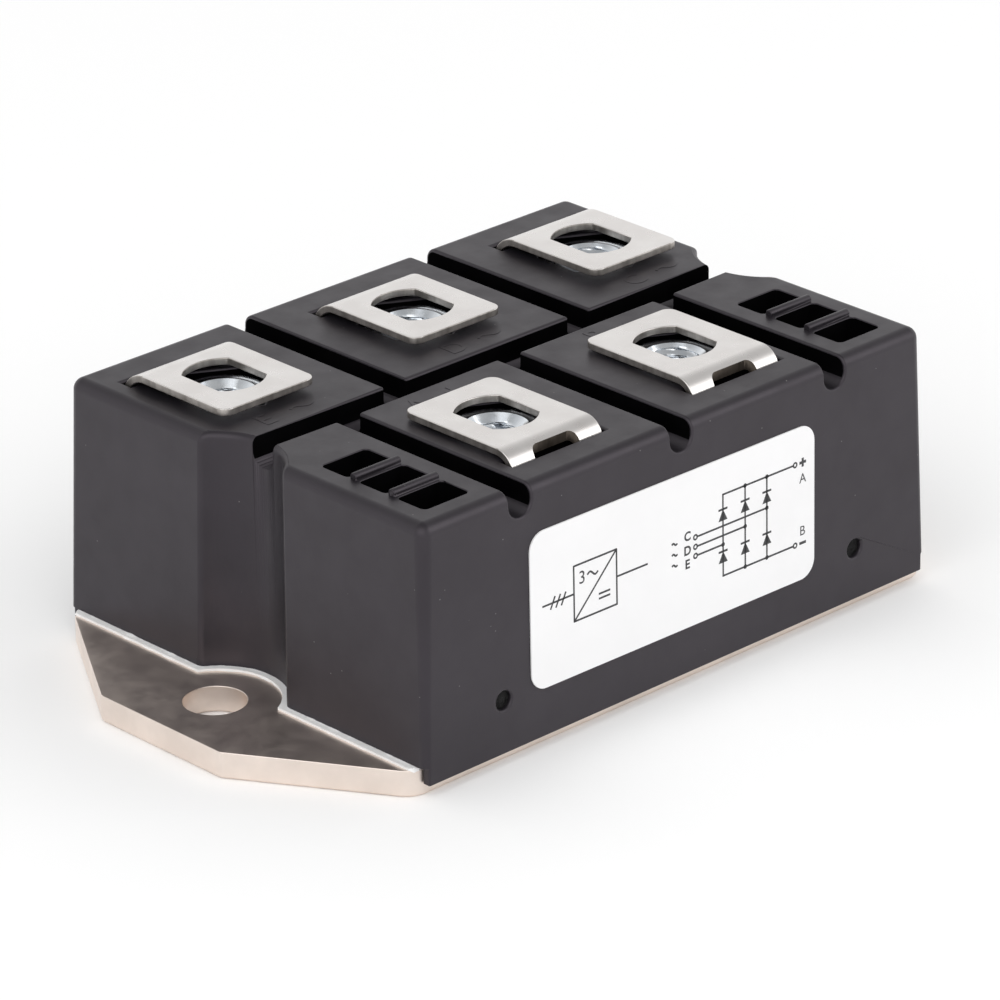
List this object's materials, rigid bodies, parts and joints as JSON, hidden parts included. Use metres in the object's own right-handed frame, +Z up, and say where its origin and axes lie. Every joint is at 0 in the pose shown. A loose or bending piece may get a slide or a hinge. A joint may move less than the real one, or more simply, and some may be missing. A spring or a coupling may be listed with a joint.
{
  "type": "three-phase diode module",
  "caption": "Black block on a flat plated base with two screw tabs and bent screw terminals on top; a diode bridge inside turns three-phase AC into DC.",
  "frame": {"origin": "middle of the base plate's underside", "axes": "+X along the module towards the minus terminal's end, -Y out of the label, +Z up"},
  "size_m": [0.0948, 0.0541, 0.0306],
  "materials": {
    "base_plate": "matt nickel plating",
    "housing": "satin black moulding",
    "seal": "white silicone",
    "label": "satin white film with dark print",
    "nut": "bright zinc plating",
    "terminal": "satin nickel plating",
    "copper": "bare copper",
    "ceramic": "white alumina",
    "chip": "silicon with a metal face",
    "link": "tinned copper",
    "gel": "soft clear silicone"
  },
  "bodies": {
    "root": {"base_plate": "base_plate", "housing": "housing", "seal": "seal", "label": "label", "terminal_nuts": "nut", "terminal_in_left": "terminal", "terminal_in_middle": "terminal", "terminal_in_right": "terminal", "terminal_plus": "terminal", "terminal_minus": "terminal", "substrate_back": "copper", "substrate_ceramic": "ceramic", "track_in_left": "copper", "track_in_middle": "copper", "track_in_right": "copper", "track_plus": "copper", "track_minus": "copper", "upper_diode_left": "chip", "upper_diode_middle": "chip", "upper_diode_right": "chip", "lower_diode_left": "chip", "lower_diode_middle": "chip", "lower_diode_right": "chip", "upper_link_left": "link", "upper_link_middle": "link", "upper_link_right": "link", "lower_link_left": "link", "lower_link_middle": "link", "lower_link_right": "link", "gel": "gel"}
  },
  "joints": []
}
